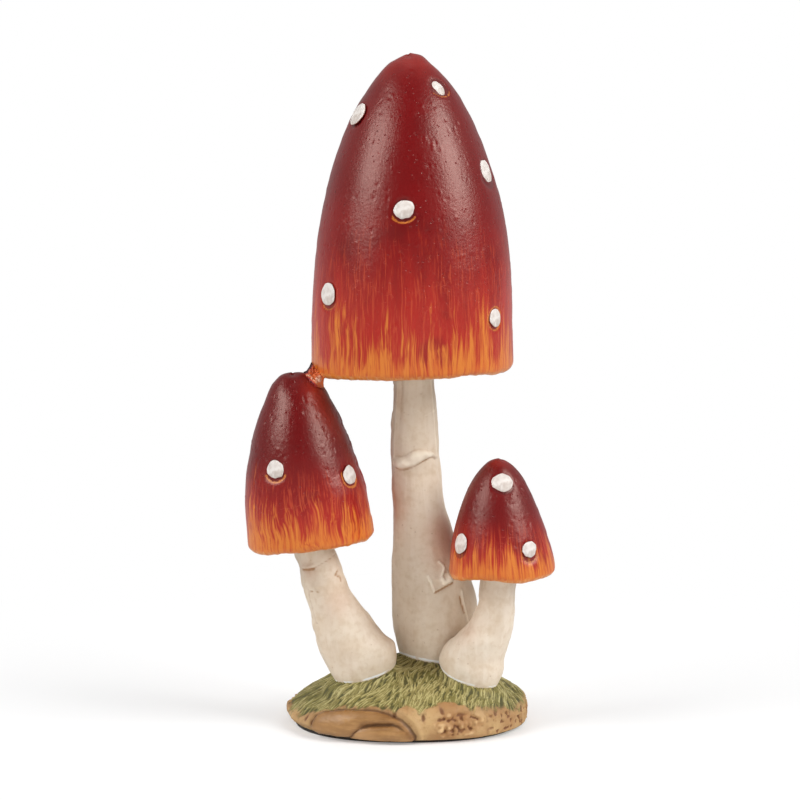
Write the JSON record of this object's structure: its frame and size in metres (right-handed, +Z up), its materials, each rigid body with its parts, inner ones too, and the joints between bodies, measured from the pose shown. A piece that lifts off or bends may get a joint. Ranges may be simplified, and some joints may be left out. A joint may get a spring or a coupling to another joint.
{
  "type": "resin toadstool figurine",
  "caption": "Hand-painted resin ornament of tall and short red toadstools with raised white spots, standing on an oval mound of grass and earth.",
  "frame": {"origin": "centre of the felt pad's underside, on the surface that the figurine stands on", "axes": "+Z up, +X to the right and +Y to the back for someone who faces the front of the picture"},
  "size_m": [0.0776, 0.052, 0.17],
  "materials": {
    "cap_lacquer": "cast resin, crimson brushed over orange towards the rim, satin varnish",
    "spot_paint": "thick off-white paint on raised resin spots",
    "stem_paint": "cast resin, cream paint with a thin beige and pink wash",
    "gill_paint": "cast resin, cream paint with darker grooves",
    "mound_paint": "cast resin, olive grass dry-brushed lighter, ochre earth with a brown wash",
    "web_paint": "cast resin, orange and red paint",
    "steel_wire": "bare drawn wire",
    "felt": "thin dark felt"
  },
  "bodies": {
    "root": {"tall_stem": "stem_paint", "tall_wire": "steel_wire", "tall_cap": "cap_lacquer", "tall_gills": "gill_paint", "tall_spot_1": "spot_paint", "tall_spot_2": "spot_paint", "tall_spot_3": "spot_paint", "tall_spot_4": "spot_paint", "tall_spot_5": "spot_paint", "tall_spot_6": "spot_paint", "tall_spot_7": "spot_paint", "tall_spot_8": "spot_paint", "tall_spot_9": "spot_paint", "tall_spot_10": "spot_paint", "tall_spot_11": "spot_paint", "left_stem": "stem_paint", "left_wire": "steel_wire", "left_cap": "cap_lacquer", "left_gills": "gill_paint", "left_spot_1": "spot_paint", "left_spot_2": "spot_paint", "left_spot_3": "spot_paint", "left_spot_4": "spot_paint", "right_stem": "stem_paint", "right_wire": "steel_wire", "right_cap": "cap_lacquer", "right_gills": "gill_paint", "right_spot_1": "spot_paint", "right_spot_2": "spot_paint", "right_spot_3": "spot_paint", "right_spot_4": "spot_paint", "right_spot_5": "spot_paint", "base_mound": "mound_paint", "felt_pad": "felt", "cap_web": "web_paint"}
  },
  "joints": []
}
